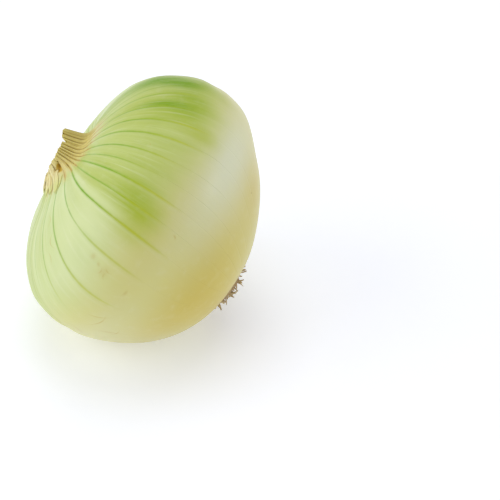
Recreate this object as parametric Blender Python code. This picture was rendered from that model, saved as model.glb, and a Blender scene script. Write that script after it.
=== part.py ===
"""Whole bulb onion lying on its flank.

One closed solid, built as rings round the axis that runs from the roots to the
neck. The bulb is a squat body of revolution with a low shoulder, three faint
lobes and a root end that leans to one side. The neck is a short stub of dry
ridged layers with a torn rim, closed inside by crumpled ones. The root plate
carries trimmed root stubs, which one Boolean union fuses into it.
Lengths are in metres, +Z is up, and the origin is on the ground under the
middle of the onion. The neck points along -X and up, the roots along +X and down.
"""

import math
import random

import bmesh
import bpy
import numpy as np
from mathutils import Matrix, Vector

MM = 0.001

# Bulb, measured from its widest circle along the axis
BULB_RADIUS = 48.0 * MM
SHOULDER_RISE = 28.8 * MM
ROOT_DEPTH = 40.4 * MM
SHOULDER_FLATNESS = 0.653
SHOULDER_FULLNESS = 0.966
FLANK_ROUNDNESS = 0.99
ROOT_TAPER = 1.138
LOBES = 3
LOBE_DEPTH = 0.009
LOBE_AZIMUTH = math.radians(-45.7)
ROOT_LEAN = 6.5 * MM
ROOT_LEAN_AZIMUTH = math.radians(-138.6)

# Soft swellings and hollows: azimuth and half width in degrees, turn and half width, rise in mm
SWELLINGS = (
    (33.0, 20.0, -0.25, 0.22, 0.5),
    (30.0, 16.0, -0.30, 0.11, 0.35),
    (22.0, 22.0, -0.57, 0.17, -0.6),
    (35.0, 18.0, 0.09, 0.10, -0.35),
    (42.0, 26.0, 0.50, 0.24, -0.5),
    (52.0, 20.0, 0.93, 0.10, 0.3),
    (94.0, 40.0, 1.42, 0.18, -3.2),
    (-160.0, 18.0, 0.97, 0.18, -0.25),
    (-143.0, 22.0, 0.47, 0.16, 0.45),
    (-138.0, 20.0, -0.03, 0.10, -0.5),
    (-138.0, 36.0, 1.46, 0.10, 1.3),
)

# Neck, with heights above the pole of the shoulder
NECK_FOOT_TURN = 1.39
NECK_RIM_RADIUS = 7.9 * MM
NECK_TAPER = 0.3
NECK_WIDE_AZIMUTH = math.radians(37.6)
NECK_FLATNESS = 0.74
NECK_FLARE = 3.1
NECK_FLARE_SWING = 2.1
NECK_STEEPNESS = 1.75
NECK_STEEPNESS_SWING = 0.45
RIM_RISE = 3.75 * MM
RIM_SLANT = 2.0 * MM
RIM_HIGH_AZIMUTH = math.radians(-50.0)
RIM_PEAK = 3.3 * MM
RIM_PEAK_AZIMUTH = 30.0
RIM_PEAK_WIDTH = 40.0
RIM_NOTCH = 1.3 * MM
RIM_NOTCH_AZIMUTH = -9.0
RIM_NOTCH_WIDTH = 4.5
RIM_TEAR = 0.14 * MM
RIDGES = 36
RIDGE_DEPTH = 0.5 * MM
RIDGE_START = 0.33
LIP_RINGS = ((0.45 * MM, 0.0), (1.44 * MM, 1.3 * MM))
TEAR_AZIMUTH = -84.0
TEAR_WIDTH = 10.0
TEAR_HEIGHT = 3.0 * MM
TEAR_HALF_HEIGHT = 1.5 * MM
TEAR_DEPTH = 1.3 * MM
CRUMPLES = 7
CRUMPLE_DEPTH = 0.35 * MM
CRUMPLE_TWIST = 6.0
CRUMPLED_SHARES = ((0.56, 1.7 * MM), (0.27, 1.2 * MM))

# Root plate and its stubs
PLATE_RADIUS = 8.4 * MM
PLATE_STEP = 0.8 * MM
PLATE_DISH = 0.9 * MM
PLATE_EDGE = 1.1
PLATE_SHARES = (0.35, 0.7, 0.95)
STUB_COUNT = 36
STUB_INNER_RADIUS = 2.6 * MM
STUB_OUTER_RADIUS = 7.3 * MM
STUB_FOOT_RADIUS = 0.75 * MM
STUB_TIP_RADIUS = 0.5 * MM
STUB_SHORTEST = 1.6 * MM
STUB_LONGEST = 3.6 * MM
STUB_SUNK = 1.0 * MM
STUB_SPREAD = math.radians(32.0)
STUB_TILT = 0.15
STUB_SWING = 0.4
STUB_SIDES = 5
STUB_SEED = 7
GOLDEN_TURN = math.pi * (3.0 - math.sqrt(5.0))

# How it lies
NECK_LIFT = math.radians(36.1)
SETTLED_DEPTH = 3.3 * MM
SETTLED_BLEND = 0.3 * MM

# Fineness of the rings
BULB_STEPS = 2 * RIDGES
NECK_STEPS = 4 * RIDGES
ROOT_RINGS = 13
FLANK_RINGS = 12
NECK_WALL_SHARES = (0.1, 0.22, 0.36, 0.52, 0.68, 0.84, 1.0)

FLESH, DRY_NECK, ROOT = range(3)


def clear_scene():
    """Remove every object."""
    for item in list(bpy.data.objects):
        bpy.data.objects.remove(item, do_unlink=True)


def make_material(name, colour, roughness):
    """Plain dielectric material."""
    material = bpy.data.materials.new(name)
    material.use_nodes = True
    shader = material.node_tree.nodes["Principled BSDF"]
    shader.inputs["Base Color"].default_value = (*colour, 1.0)
    shader.inputs["Roughness"].default_value = roughness
    shader.inputs["Metallic"].default_value = 0.0
    return material


def onion_materials():
    """Waxy green flesh, straw neck and brown roots, in the order of their face indices."""
    return (
        make_material("onion_flesh", (0.50, 0.58, 0.22), 0.35),
        make_material("dry_neck", (0.52, 0.40, 0.18), 0.7),
        make_material("roots", (0.30, 0.20, 0.10), 0.85),
    )


def azimuths(steps):
    """Angles round the axis; 0 is the side that ends up on top, 90 degrees is +Y."""
    return np.arange(steps) * (2.0 * math.pi / steps)


def ring(azimuth, radius, height):
    """Points at a radius and height for each azimuth, in the onion's own frame."""
    points = np.empty((len(azimuth), 3))
    points[:, 0] = radius * np.cos(azimuth)
    points[:, 1] = radius * np.sin(azimuth)
    points[:, 2] = height
    return points


def root_lean(height):
    """Sideways shift of the axis, growing with the square of the depth below the widest circle."""
    share = np.clip(-height / ROOT_DEPTH, 0.0, 1.0) ** 2
    return ROOT_LEAN * share * math.cos(ROOT_LEAN_AZIMUTH), ROOT_LEAN * share * math.sin(ROOT_LEAN_AZIMUTH)


def bulb_profile(turn):
    """Radius and height at a turn from -90 degrees, the root pole, to 90, the neck pole."""
    cosine = math.cos(turn)
    sine = abs(math.sin(turn))
    if turn >= 0.0:
        return BULB_RADIUS * cosine ** SHOULDER_FLATNESS, SHOULDER_RISE * sine ** SHOULDER_FULLNESS
    return BULB_RADIUS * cosine ** FLANK_ROUNDNESS, -ROOT_DEPTH * sine ** ROOT_TAPER


def azimuth_hump(azimuth, middle_degrees, width_degrees):
    """Bell curve in an angle, the short way round."""
    off = np.angle(np.exp(1j * (azimuth - math.radians(middle_degrees))))
    return np.exp(-(off / math.radians(width_degrees)) ** 2)


def swelling(turn, azimuth):
    """Outward shift of the skin: a sum of bell curves in turn and azimuth."""
    total = np.zeros(len(azimuth))
    for middle, width, middle_turn, width_turn, rise in SWELLINGS:
        share = math.exp(-((turn - middle_turn) / width_turn) ** 2)
        total += rise * MM * share * azimuth_hump(azimuth, middle, width)
    return total


def skin_outline(turn, azimuth):
    """Radius and height of the bulb's skin at a turn, with its lobes and swellings."""
    radius, height = bulb_profile(turn)
    lobes = 1.0 + LOBE_DEPTH * math.sqrt(math.cos(turn)) * np.cos(LOBES * (azimuth - LOBE_AZIMUTH))
    shift = swelling(turn, azimuth)
    return radius * lobes + shift * math.cos(turn), height + shift * math.sin(turn)


def bulb_ring(turn):
    """Ring of the bulb's skin, shifted by the lean of its root end."""
    azimuth = azimuths(BULB_STEPS)
    points = ring(azimuth, *skin_outline(turn, azimuth))
    shift_x, shift_y = root_lean(bulb_profile(turn)[1])
    points[:, 0] += shift_x
    points[:, 1] += shift_y
    return points


def plate_height(radius):
    """Height of the dished root plate at a distance from the root pole."""
    return -ROOT_DEPTH - PLATE_STEP + PLATE_DISH * (1.0 - (radius / PLATE_RADIUS) ** 2)


def plate_ring(radius):
    """Ring of the root plate, centred on the leaning pole."""
    shift_x, shift_y = root_lean(-ROOT_DEPTH)
    points = ring(azimuths(BULB_STEPS), radius, plate_height(radius))
    points[:, 0] += shift_x
    points[:, 1] += shift_y
    return points


def rim_slope(azimuth):
    """Height of the rim over its mean: a slant across the neck with one peak."""
    slant = RIM_SLANT * np.cos(azimuth - RIM_HIGH_AZIMUTH)
    return slant + RIM_PEAK * azimuth_hump(azimuth, RIM_PEAK_AZIMUTH, RIM_PEAK_WIDTH)


def rim_height(azimuth):
    """Height of the torn rim: its slope, one notch, and small ragged waves."""
    notch = RIM_NOTCH * azimuth_hump(azimuth, RIM_NOTCH_AZIMUTH, RIM_NOTCH_WIDTH)
    ragged = np.sin(7.0 * azimuth + 0.7) + 0.7 * np.sin(18.0 * azimuth + 2.0)
    return SHOULDER_RISE + RIM_RISE + rim_slope(azimuth) - notch + RIM_TEAR * ragged


def rim_radius(azimuth):
    """Radius of the oval rim."""
    swing = np.cos(azimuth - NECK_WIDE_AZIMUTH)
    return NECK_RIM_RADIUS / np.sqrt(swing ** 2 + (1.0 - swing ** 2) / NECK_FLATNESS ** 2)


def neck_tear(azimuth, height):
    """Depth of the hollow torn into the neck's near side, a smooth bump in angle and height."""
    rise = (height - SHOULDER_RISE - TEAR_HEIGHT) / TEAR_HALF_HEIGHT
    return TEAR_DEPTH * azimuth_hump(azimuth, TEAR_AZIMUTH, TEAR_WIDTH) * np.exp(-rise ** 2)


def neck_ring(share, inset=0.0, drop=0.0):
    """Ring of the ridged wall, at a share of the way from the shoulder to the rim.

    It tapers towards the oval rim and flares out into the shoulder, tightly on one side
    and as a skirt on the other.
    """
    azimuth = azimuths(NECK_STEPS)
    swing = np.cos(azimuth - NECK_WIDE_AZIMUTH)
    foot_radius, foot_height = skin_outline(NECK_FOOT_TURN, azimuth)
    rise = rim_height(azimuth) - foot_height
    height = foot_height + rise * share ** (NECK_STEEPNESS + NECK_STEEPNESS_SWING * swing)
    taper = NECK_TAPER * (foot_height + rise - height)
    spread = foot_radius - rim_radius(azimuth) - NECK_TAPER * rise
    flared = spread * (1.0 - share) ** (NECK_FLARE + NECK_FLARE_SWING * swing)
    ridge = 0.5 * RIDGE_DEPTH * min(1.0, share / RIDGE_START) * np.cos(RIDGES * azimuth)
    radius = rim_radius(azimuth) + taper + flared + ridge - neck_tear(azimuth, height) - inset
    return ring(azimuth, radius, height - drop)


def crumpled_ring(share, drop):
    """Ring of the dry inner layers that close the neck, below the rim and crumpled in waves."""
    azimuth = azimuths(BULB_STEPS)
    waves = CRUMPLE_DEPTH * np.sin(CRUMPLES * azimuth + CRUMPLE_TWIST * share)
    height = SHOULDER_RISE + RIM_RISE + share * rim_slope(azimuth) + waves - drop
    return ring(azimuth, share * rim_radius(azimuth), height)


def onion_rings():
    """Rings from the middle of the root plate to the middle of the neck, each with its material."""
    edge_turn = -math.acos((PLATE_EDGE * PLATE_RADIUS / BULB_RADIUS) ** (1.0 / FLANK_ROUNDNESS))
    rings = [(plate_ring(share * PLATE_RADIUS), ROOT) for share in PLATE_SHARES]
    rings += [(bulb_ring(turn), FLESH) for turn in np.linspace(edge_turn, 0.0, ROOT_RINGS, endpoint=False)]
    rings += [(bulb_ring(turn), FLESH) for turn in np.linspace(0.0, NECK_FOOT_TURN, FLANK_RINGS)]
    rings += [(neck_ring(share), DRY_NECK) for share in NECK_WALL_SHARES]
    rings += [(neck_ring(1.0, inset, drop), DRY_NECK) for inset, drop in LIP_RINGS]
    rings += [(crumpled_ring(share, drop), DRY_NECK) for share, drop in CRUMPLED_SHARES]
    return rings


def placement(points):
    """Matrix that lies the onion down: the neck lifted off the ground, the lowest skin below it."""
    turned = Matrix.Rotation(NECK_LIFT - math.pi / 2.0, 4, "Y")
    lying = points @ np.array(turned.to_3x3()).T
    middle = 0.5 * (lying.min(axis=0) + lying.max(axis=0))
    ground = lying[:, 2].min() + SETTLED_DEPTH
    return Matrix.Translation((-middle[0], -middle[1], -ground)) @ turned


def settled(height):
    """Height above the ground after the skin has been pressed flat where it would go below it."""
    blend = SETTLED_BLEND
    eased = (height + blend) ** 2 / (4.0 * blend)
    return np.where(height < -blend, 0.0, np.where(height < blend, eased, height))


def lie_down(points, place):
    """Points of the onion's own frame moved into the world and pressed onto the ground."""
    turned = points @ np.array(place.to_3x3()).T + np.array(place.translation)
    turned[:, 2] = settled(turned[:, 2])
    return turned


def join_rings(mesh, lower, upper, material_index):
    """Faces between two rings, which have as many points or a whole multiple of them."""
    few, many = sorted((lower, upper), key=len)
    step = len(many) // len(few)
    flip = few is upper
    for index, start in enumerate(few):
        end = few[(index + 1) % len(few)]
        run = [many[(index * step + offset) % len(many)] for offset in range(step + 1)]
        half = (step + 1) // 2
        triangles = [(start, run[offset + 1], run[offset]) for offset in range(half)]
        triangles += [(end, run[offset + 1], run[offset]) for offset in range(half, step)]
        triangles.append((start, end, run[half]))
        for corners in triangles:
            face = mesh.faces.new(corners if not flip else corners[::-1])
            face.material_index = material_index


def close_end(mesh, loop, material_index):
    """Fan of faces from a ring to a point in its middle."""
    middle = sum((vertex.co for vertex in loop), Vector()) / len(loop)
    tip = mesh.verts.new(middle)
    for index, vertex in enumerate(loop):
        face = mesh.faces.new((tip, vertex, loop[(index + 1) % len(loop)]))
        face.material_index = material_index


def build_skin(materials):
    """The bulb, neck and root plate as one object, with the matrix that placed it."""
    rings = onion_rings()
    place = placement(np.concatenate([points for points, _ in rings]))
    mesh = bmesh.new()
    loops = [[mesh.verts.new(co) for co in lie_down(points, place)] for points, _ in rings]
    for lower, upper, (_, material_index) in zip(loops, loops[1:], rings[1:]):
        join_rings(mesh, lower, upper, material_index)
    close_end(mesh, loops[0], ROOT)
    close_end(mesh, loops[-1], DRY_NECK)
    bmesh.ops.recalc_face_normals(mesh, faces=mesh.faces[:])
    return mesh_object("onion", mesh, materials), place


def mesh_object(name, mesh, materials):
    """Object from a bmesh, with the onion's materials."""
    data = bpy.data.meshes.new(name)
    mesh.to_mesh(data)
    mesh.free()
    for material in materials:
        data.materials.append(material)
    return bpy.data.objects.new(name, data)


def stub_matrix(index, draw):
    """Foot of one root stub: spread evenly over the plate, tilted outward."""
    share = (index + 0.5) / STUB_COUNT
    radius = math.sqrt(STUB_INNER_RADIUS ** 2 + share * (STUB_OUTER_RADIUS ** 2 - STUB_INNER_RADIUS ** 2))
    azimuth = index * GOLDEN_TURN
    shift_x, shift_y = root_lean(-ROOT_DEPTH)
    foot = Vector((shift_x + radius * math.cos(azimuth), shift_y + radius * math.sin(azimuth), plate_height(radius)))
    outward = STUB_SPREAD * radius / STUB_OUTER_RADIUS + draw.uniform(-STUB_TILT, STUB_TILT)
    swing = azimuth + draw.uniform(-STUB_SWING, STUB_SWING)
    aim = Matrix.Rotation(swing, 4, "Z") @ Matrix.Rotation(math.pi - outward, 4, "Y")
    return Matrix.Translation(foot) @ aim


def build_stub(index, place, draw, materials):
    """One trimmed root: a blunt tapering peg whose foot is sunk in the plate."""
    length = draw.uniform(STUB_SHORTEST, STUB_LONGEST) + STUB_SUNK
    lift = Matrix.Translation((0.0, 0.0, 0.5 * length - STUB_SUNK))
    mesh = bmesh.new()
    bmesh.ops.create_cone(
        mesh,
        cap_ends=True,
        segments=STUB_SIDES,
        radius1=STUB_FOOT_RADIUS,
        radius2=STUB_TIP_RADIUS,
        depth=length,
        matrix=place @ stub_matrix(index, draw) @ lift,
    )
    for face in mesh.faces:
        face.material_index = ROOT
    return mesh_object(f"root_stub_{index}", mesh, materials)


def fuse_stubs(onion, place, materials):
    """Join the root stubs to the root plate as one closed solid."""
    draw = random.Random(STUB_SEED)
    stubs = bpy.data.collections.new("root_stubs")
    bpy.context.scene.collection.children.link(stubs)
    for index in range(STUB_COUNT):
        stubs.objects.link(build_stub(index, place, draw, materials))
    union = onion.modifiers.new("fuse_stubs", "BOOLEAN")
    union.operation = "UNION"
    union.operand_type = "COLLECTION"
    union.collection = stubs
    union.solver = "EXACT"
    evaluated = onion.evaluated_get(bpy.context.evaluated_depsgraph_get())
    fused = bpy.data.meshes.new_from_object(evaluated)
    onion.modifiers.clear()
    onion.data = fused
    for stub in list(stubs.objects):
        bpy.data.objects.remove(stub, do_unlink=True)
    bpy.data.collections.remove(stubs)


def main():
    clear_scene()
    materials = onion_materials()
    onion, place = build_skin(materials)
    bpy.context.scene.collection.objects.link(onion)
    fuse_stubs(onion, place, materials)
    onion.data.shade_smooth()
    onion.data.set_sharp_from_angle(angle=math.radians(40.0))


main()
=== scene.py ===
"""Looks of a whole bulb onion lying on its flank.

The skin of the bulb and its ridged neck is one closed surface. Torn dry sheaths,
crumpled inner layers, the root plate and its root fibres are pieces of their own.
Every surface is worked out on a grid in the onion's own frame, whose z axis runs
from the roots to the neck, and is then laid down as the solid lies.
"""

import math

import bpy
import numpy as np
from mathutils import Matrix, Vector


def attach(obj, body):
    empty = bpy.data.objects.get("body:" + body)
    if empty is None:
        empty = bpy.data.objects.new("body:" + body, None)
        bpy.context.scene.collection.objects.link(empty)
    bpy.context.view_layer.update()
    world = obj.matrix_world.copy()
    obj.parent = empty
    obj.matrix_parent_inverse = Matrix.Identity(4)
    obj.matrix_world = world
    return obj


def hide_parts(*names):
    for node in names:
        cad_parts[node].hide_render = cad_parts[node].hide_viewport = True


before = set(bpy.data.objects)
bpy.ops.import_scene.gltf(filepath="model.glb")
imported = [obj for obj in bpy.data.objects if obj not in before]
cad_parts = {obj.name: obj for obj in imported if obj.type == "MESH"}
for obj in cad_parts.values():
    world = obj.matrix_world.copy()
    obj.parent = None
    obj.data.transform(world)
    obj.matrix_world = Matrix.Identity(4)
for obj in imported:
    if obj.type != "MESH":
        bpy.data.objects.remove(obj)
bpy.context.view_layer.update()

MM = 0.001
TURN = 2.0 * math.pi

# Bulb, measured from its widest circle along the axis
BULB_RADIUS = 48.0 * MM
SHOULDER_RISE = 28.8 * MM
ROOT_DEPTH = 40.4 * MM
SHOULDER_FLATNESS = 0.653
SHOULDER_FULLNESS = 0.966
FLANK_ROUNDNESS = 0.99
ROOT_TAPER = 1.138
LOBES = 3
LOBE_DEPTH = 0.009
LOBE_AZIMUTH = math.radians(-45.7)
ROOT_LEAN = 6.5 * MM
ROOT_LEAN_AZIMUTH = math.radians(-138.6)

# Soft swellings and hollows: azimuth and half width in degrees, turn and half width, rise in mm
SWELLINGS = (
    (33.0, 20.0, -0.25, 0.22, 0.5),
    (30.0, 16.0, -0.30, 0.11, 0.35),
    (22.0, 22.0, -0.57, 0.17, -0.6),
    (35.0, 18.0, 0.09, 0.10, -0.35),
    (42.0, 26.0, 0.50, 0.24, -0.5),
    (52.0, 20.0, 0.93, 0.10, 0.3),
    (94.0, 40.0, 1.42, 0.18, -3.2),
    (-160.0, 18.0, 0.97, 0.18, -0.25),
    (-143.0, 22.0, 0.47, 0.16, 0.45),
    (-138.0, 20.0, -0.03, 0.10, -0.5),
    (-138.0, 36.0, 1.46, 0.10, 1.3),
)

# Neck, with heights above the pole of the shoulder, and spans as a middle and a half width in degrees
NECK_FOOT_TURN = 1.39
NECK_RIM_RADIUS = 7.9 * MM
NECK_TAPER = 0.3
NECK_WIDE_AZIMUTH = math.radians(37.6)
NECK_FLATNESS = 0.74
NECK_FLARE = 3.1
NECK_FLARE_SWING = 2.1
NECK_STEEPNESS = 1.75
NECK_STEEPNESS_SWING = 0.45
RIM_RISE = 3.75 * MM
RIM_SLANT = 2.0 * MM
RIM_HIGH_AZIMUTH = math.radians(-50.0)
RIM_PEAK = 3.3 * MM
RIM_PEAK_SPAN = (30.0, 40.0)
RIM_NOTCH = 1.3 * MM
RIM_NOTCH_SPAN = (-9.0, 4.5)
RIM_TEAR = 0.14 * MM

# How it lies
NECK_LIFT = math.radians(36.1)
SETTLED_DEPTH = 3.3 * MM
SETTLED_BLEND = 0.3 * MM
MEASURED_ROOT_TURN = -1.56
MEASURED_STEPS = 240

# Veins of the near side: azimuth in degrees, strength, height in mm where each fades out,
# and green of the skin beside it
SEEN_VEINS = (
    (31.0, 0.35, 8.0, 0.85), (22.5, 0.4, 5.0, 0.9), (14.5, 0.45, 8.0, 0.9), (7.4, 0.55, 3.0, 0.95),
    (-3.2, 0.55, 7.0, 0.95), (-11.9, 0.7, -1.0, 0.9), (-20.3, 0.75, -1.0, 0.75), (-29.8, 0.8, 4.0, 0.75),
    (-37.6, 0.5, 7.0, 0.7), (-44.9, 0.9, -3.0, 0.8), (-52.8, 0.6, -2.0, 0.75), (-62.5, 1.2, -6.5, 0.16),
    (-76.9, 0.8, -5.0, 0.04), (-93.6, 0.95, -5.0, 0.06), (-108.8, 0.6, 6.0, 0.18), (-121.0, 0.5, 9.0, 0.25),
)
HIDDEN_VEINS = 23
VEIN_SEED = 11

SKIN_COLUMNS = 400
SKIN_ROWS = 190
NECK_ROWS = 44
SKIN_ROOT_TURN = -1.565
PROFILE_STEPS = 2000


def smooth_step(value, low, high):
    """0 below low, 1 above high, and 3x^2 - 2x^3 in between."""
    share = np.clip((value - low) / (high - low), 0.0, 1.0)
    return share * share * (3.0 - 2.0 * share)


def hump(value, middle, width):
    """Bell curve that is 1 at its middle."""
    return np.exp(-((value - middle) / width) ** 2)


def azimuth_hump(azimuth, middle_degrees, width_degrees):
    """Bell curve in an angle, the short way round."""
    off = np.angle(np.exp(1j * (azimuth - math.radians(middle_degrees))))
    return np.exp(-(off / np.radians(width_degrees)) ** 2)


def bell_sum(rows, azimuth, place):
    """Sum of bell shapes in the azimuth and a second coordinate, each times the last number of its row."""
    total = 0.0
    for middle, width, place_middle, reach, strength in rows:
        total = total + strength * azimuth_hump(azimuth, middle, width) * hump(place, place_middle, reach)
    return total


def waves(first, second, seed, count=7):
    """Smooth pattern between about -1 and 1: a sum of sine waves in two coordinates, seeded."""
    draw = np.random.default_rng(seed)
    total = np.zeros(np.broadcast(first, second).shape)
    for _ in range(count):
        across, along, phase = draw.integers(1, 6), draw.uniform(-3.0, 3.0), draw.uniform(0.0, TURN)
        total += np.sin(across * first + along * second + phase)
    return total / math.sqrt(count)


def stacked(*parts):
    """The parts stretched to one grid, and put side by side as its last axis."""
    return np.stack(np.broadcast_arrays(*parts), axis=-1)


def ring_points(radius, azimuth, height, lean=(0.0, 0.0)):
    """Points at a radius, an azimuth and a height, about an axis that is shifted sideways."""
    return stacked(radius * np.cos(azimuth) + lean[0], radius * np.sin(azimuth) + lean[1], height)


# The veins

def vein_table():
    """Azimuth, strength, fading height and green of every vein, in order round the bulb.

    The seen veins come first, from the lowest azimuth. The hidden ones share out the rest of the turn,
    with seeded gaps.
    """
    draw = np.random.default_rng(VEIN_SEED)
    seen = np.array(SEEN_VEINS)[::-1]
    gaps = draw.uniform(0.75, 1.25, HIDDEN_VEINS + 1)
    room = 360.0 - (seen[-1, 0] - seen[0, 0])
    hidden = np.stack([
        seen[-1, 0] + np.cumsum(gaps)[:-1] * room / gaps.sum(),
        draw.uniform(0.3, 0.9, HIDDEN_VEINS),
        draw.uniform(-5.0, 9.0, HIDDEN_VEINS),
        draw.uniform(0.1, 0.9, HIDDEN_VEINS),
    ], axis=1)
    azimuth, strength, fade, green = np.concatenate([seen, hidden]).T
    return np.radians(azimuth), strength, fade * MM, green


VEIN_AZIMUTH, VEIN_STRENGTH, VEIN_FADE, SECTOR_GREEN = vein_table()
VEIN_COUNT = len(VEIN_AZIMUTH)


def vein_number(azimuth):
    """Position among the veins: whole on a vein, and rising by VEIN_COUNT in one turn of the azimuth."""
    knots = np.concatenate([VEIN_AZIMUTH, VEIN_AZIMUTH[:1] + TURN])
    laps, rest = np.divmod(azimuth - knots[0], TURN)
    return np.interp(rest + knots[0], knots, np.arange(VEIN_COUNT + 1)) + laps * VEIN_COUNT


def of_veins(number, per_vein):
    """Value of the nearest vein, eased over to its neighbour's half way between them."""
    low = np.floor(number).astype(int)
    ease = smooth_step(number - low, 0.2, 0.8)
    return per_vein[low % VEIN_COUNT] * (1.0 - ease) + per_vein[(low + 1) % VEIN_COUNT] * ease


# The bulb's shape

def root_lean(height):
    """Sideways shift of the axis, growing with the square of the depth below the widest circle."""
    share = ROOT_LEAN * np.clip(-height / ROOT_DEPTH, 0.0, 1.0) ** 2
    return share * math.cos(ROOT_LEAN_AZIMUTH), share * math.sin(ROOT_LEAN_AZIMUTH)


def bulb_profile(turn):
    """Radius and height at a turn from -90 degrees, the root pole, to 90, the neck pole."""
    cosine = np.maximum(np.cos(turn), 0.0)
    sine = np.abs(np.sin(turn))
    upper = turn >= 0.0
    radius = BULB_RADIUS * np.where(upper, cosine ** SHOULDER_FLATNESS, cosine ** FLANK_ROUNDNESS)
    height = np.where(upper, SHOULDER_RISE * sine ** SHOULDER_FULLNESS, -ROOT_DEPTH * sine ** ROOT_TAPER)
    return radius, height


def even_turns(low, high, count):
    """Turns that space their points evenly along the bulb's profile."""
    fine = np.linspace(low, high, PROFILE_STEPS)
    radius, height = bulb_profile(fine)
    path = np.concatenate([[0.0], np.cumsum(np.hypot(np.diff(radius), np.diff(height)))])
    return np.interp(np.linspace(0.0, path[-1], count), path, fine)


def bulb_surface(turn, azimuth):
    """Points of the bulb: its profile turned round the axis, with lobes, swellings and a leaning root."""
    radius, height = bulb_profile(turn)
    lobe_share = np.sqrt(np.maximum(np.cos(turn), 0.0))
    lobes = 1.0 + LOBE_DEPTH * lobe_share * np.cos(LOBES * (azimuth - LOBE_AZIMUTH))
    lean = root_lean(height)
    shift = bell_sum(SWELLINGS, azimuth, turn) * MM
    across = radius * lobes + shift * np.cos(turn)
    height = height + shift * np.sin(turn)
    return ring_points(across, azimuth, height, lean)


def rim_slope(azimuth):
    """Height of the rim over its mean: a slant across the neck with one peak."""
    slant = RIM_SLANT * np.cos(azimuth - RIM_HIGH_AZIMUTH)
    return slant + RIM_PEAK * azimuth_hump(azimuth, *RIM_PEAK_SPAN)


def rim_height(azimuth):
    """Height of the torn rim: its slope, one notch, and small ragged waves."""
    notch = RIM_NOTCH * azimuth_hump(azimuth, *RIM_NOTCH_SPAN)
    ragged = np.sin(7.0 * azimuth + 0.7) + 0.7 * np.sin(18.0 * azimuth + 2.0) + 0.5 * np.sin(41.0 * azimuth)
    return SHOULDER_RISE + RIM_RISE + rim_slope(azimuth) - notch + RIM_TEAR * ragged


def rim_radius(azimuth):
    """Radius of the oval rim."""
    swing = np.cos(azimuth - NECK_WIDE_AZIMUTH)
    return NECK_RIM_RADIUS / np.sqrt(swing ** 2 + (1.0 - swing ** 2) / NECK_FLATNESS ** 2)


def neck_surface(share, azimuth):
    """Points of the neck's wall: oval at the rim, tapering, and flaring out into the shoulder.

    height = foot + rise * share^steepness, and radius = oval rim + taper + spread * (1 - share)^flare.
    Both exponents swing with the cosine of the azimuth, so that one side is tight and the other a skirt.
    """
    foot = bulb_surface(np.array(NECK_FOOT_TURN), azimuth)
    foot_radius, foot_height = np.hypot(foot[..., 0], foot[..., 1]), foot[..., 2]
    swing = np.cos(azimuth - NECK_WIDE_AZIMUTH)
    rise = rim_height(azimuth) - foot_height
    height = foot_height + rise * share ** (NECK_STEEPNESS + NECK_STEEPNESS_SWING * swing)
    tapered = rim_radius(azimuth) + NECK_TAPER * (foot_height + rise - height)
    spread = foot_radius - rim_radius(azimuth) - NECK_TAPER * rise
    radius = tapered + spread * (1.0 - share) ** (NECK_FLARE + NECK_FLARE_SWING * swing)
    return ring_points(radius, azimuth, height)


# Laying the onion down

def resting_place():
    """Turn and shift from the onion's own frame to where the solid lies."""
    turned = Matrix.Rotation(NECK_LIFT - math.pi / 2.0, 3, "Y")
    turns = np.linspace(MEASURED_ROOT_TURN, NECK_FOOT_TURN, MEASURED_STEPS)
    turn, azimuth = np.meshgrid(turns, np.linspace(0.0, TURN, MEASURED_STEPS), indexing="ij")
    lying = bulb_surface(turn, azimuth) @ np.array(turned).T
    low, high = lying.min(axis=(0, 1)), lying.max(axis=(0, 1))
    shift = np.array([-0.5 * (low[0] + high[0]), -0.5 * (low[1] + high[1]), -low[2] - SETTLED_DEPTH])
    return np.array(turned), shift


TURNED, SHIFT = resting_place()


def lie_down(points):
    """Points moved into the world and pressed flat on the ground, with a short parabola at the edge."""
    lying = points @ TURNED.T + SHIFT
    height = lying[..., 2]
    eased = (height + SETTLED_BLEND) ** 2 / (4.0 * SETTLED_BLEND)
    lying[..., 2] = np.where(height < -SETTLED_BLEND, 0.0, np.where(height < SETTLED_BLEND, eased, height))
    return lying


# Meshes from grids

def grid_normals(points):
    """Outward unit normals of a grid that closes round its columns."""
    along = np.gradient(points, axis=0)
    around = np.roll(points, -1, axis=1) - np.roll(points, 1, axis=1)
    normal = np.cross(around, along)
    return normal / np.maximum(np.linalg.norm(normal, axis=-1, keepdims=True), 1e-12)


def grid_faces(rows, columns, closed):
    """Corner numbers of the quads of a grid, and their places in a grid with one more column."""
    across = columns if closed else columns - 1
    row, column = np.meshgrid(np.arange(rows - 1), np.arange(across), indexing="ij")
    row, column = row.ravel(), column.ravel()
    corners = np.stack([
        row * columns + column,
        row * columns + (column + 1) % columns,
        (row + 1) * columns + (column + 1) % columns,
        (row + 1) * columns + column,
    ], axis=1)
    corner_rows = np.stack([row, row, row + 1, row + 1])
    corner_columns = np.stack([column, column + 1, column + 1, column])
    return corners, corner_rows, corner_columns


def make_piece(name, points, faces, material, uv=None, attributes=None):
    """Smooth mesh object from points and faces, riding on the onion's body."""
    mesh = bpy.data.meshes.new(name)
    mesh.from_pydata(points.reshape(-1, 3).tolist(), [], [list(face) for face in faces])
    mesh.materials.append(material)
    for label, values in (attributes or {}).items():
        layer = mesh.attributes.new(label, "FLOAT", "POINT")
        layer.data.foreach_set("value", np.ascontiguousarray(values, dtype=np.float32).ravel())
    if uv is not None:
        layer = mesh.uv_layers.new(name="meridian")
        layer.uv.foreach_set("vector", np.ascontiguousarray(uv, dtype=np.float32).ravel())
    mesh.shade_smooth()
    piece = bpy.data.objects.new(name, mesh)
    bpy.context.scene.collection.objects.link(piece)
    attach(piece, "root")
    return piece


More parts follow.
